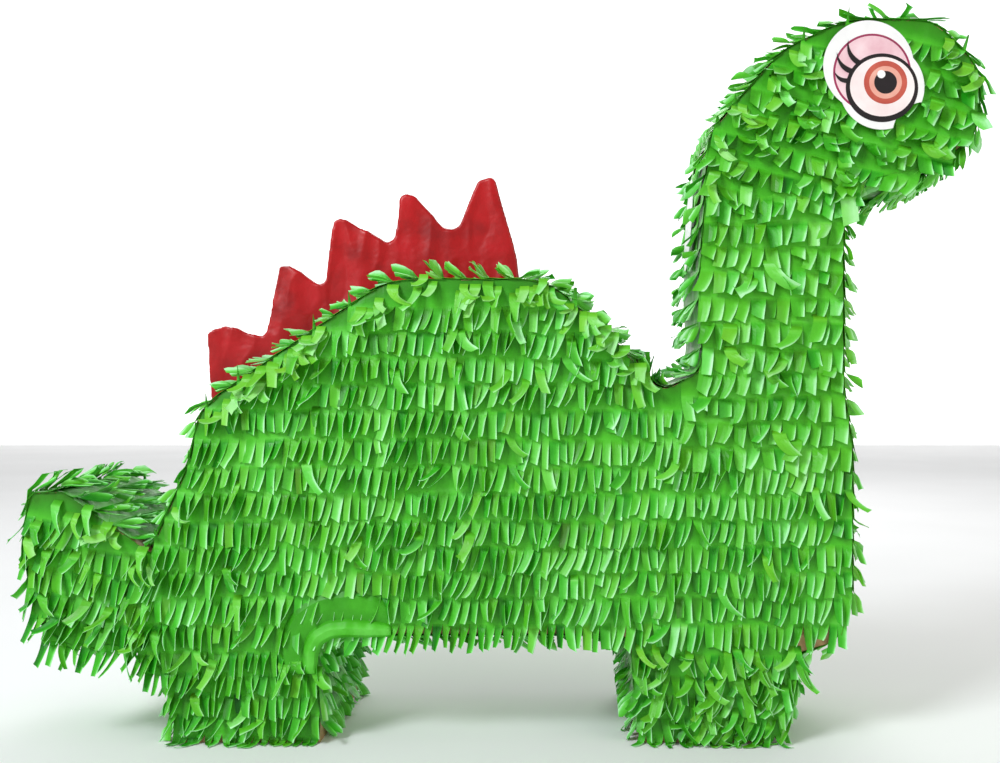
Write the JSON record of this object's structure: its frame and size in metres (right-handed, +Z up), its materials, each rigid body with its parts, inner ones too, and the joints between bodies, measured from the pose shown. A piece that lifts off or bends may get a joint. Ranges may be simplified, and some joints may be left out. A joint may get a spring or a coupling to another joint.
{
  "type": "pinata",
  "caption": "Long-necked dinosaur pinata: a hollow box of corrugated card covered in cut green tissue fringe, with a red zigzag crest, an eye on each side and a fill flap behind the neck.",
  "frame": {"origin": "on the ground, midway between tail and nose and midway between the two side panels", "axes": "+X from the tail towards the head, +Z up, -Y out of the near side panel"},
  "size_m": [0.5506, 0.108, 0.4143],
  "materials": {
    "corrugated_card": "matte",
    "gummed_tape": "satin",
    "green_tissue": "matte",
    "red_paper": "gloss",
    "printed_sticker": "satin",
    "label_paper": "satin"
  },
  "bodies": {
    "pinata": {"crest_core": "corrugated_card", "crest_cover": "red_paper", "edge_back": "corrugated_card", "edge_belly": "corrugated_card", "edge_chest": "corrugated_card", "edge_chin": "corrugated_card", "edge_face": "corrugated_card", "edge_front_leg_front": "corrugated_card", "edge_front_leg_inner": "corrugated_card", "edge_front_sole": "corrugated_card", "edge_head_top": "corrugated_card", "edge_hump_slope": "corrugated_card", "edge_hump_top": "corrugated_card", "edge_neck_back": "corrugated_card", "edge_neck_front": "corrugated_card", "edge_rear_leg_back": "corrugated_card", "edge_rear_leg_inner": "corrugated_card", "edge_rear_sole": "corrugated_card", "edge_rump": "corrugated_card", "edge_saddle": "corrugated_card", "edge_tail_end": "corrugated_card", "edge_tail_top": "corrugated_card", "edge_tail_under": "corrugated_card", "eye_far": "printed_sticker", "eye_near": "printed_sticker", "fringe_body_far": "green_tissue", "fringe_body_near": "green_tissue", "fringe_edge_back": "green_tissue", "fringe_edge_belly": "green_tissue", "fringe_edge_chest": "green_tissue", "fringe_edge_chin": "green_tissue", "fringe_edge_front_leg": "green_tissue", "fringe_edge_head": "green_tissue", "fringe_edge_hump": "green_tissue", "fringe_edge_neck_back": "green_tissue", "fringe_edge_rear_leg": "green_tissue", "fringe_edge_rump": "green_tissue", "fringe_edge_saddle": "green_tissue", "fringe_edge_tail": "green_tissue", "fringe_front_leg_far": "green_tissue", "fringe_front_leg_near": "green_tissue", "fringe_head_far": "green_tissue", "fringe_head_near": "green_tissue", "fringe_hump_far": "green_tissue", "fringe_hump_near": "green_tissue", "fringe_neck_far": "green_tissue", "fringe_neck_near": "green_tissue", "fringe_rear_leg_far": "green_tissue", "fringe_rear_leg_near": "green_tissue", "fringe_tail_far": "green_tissue", "fringe_tail_near": "green_tissue", "hang_plate": "corrugated_card", "seam_tape_far": "gummed_tape", "seam_tape_near": "gummed_tape", "side_panel_far": "corrugated_card", "side_panel_near": "corrugated_card"},
    "flap": {"fill_flap": "corrugated_card", "fringe_flap": "green_tissue", "neck_label": "label_paper"}
  },
  "joints": [
    {"name": "fill_flap_hinge", "type": "hinge", "parent": "pinata", "child": "flap", "pos_m": [0.11805, 0, 0.33802], "axis": [0, 1, 0], "range_deg": [0, 110]}
  ]
}
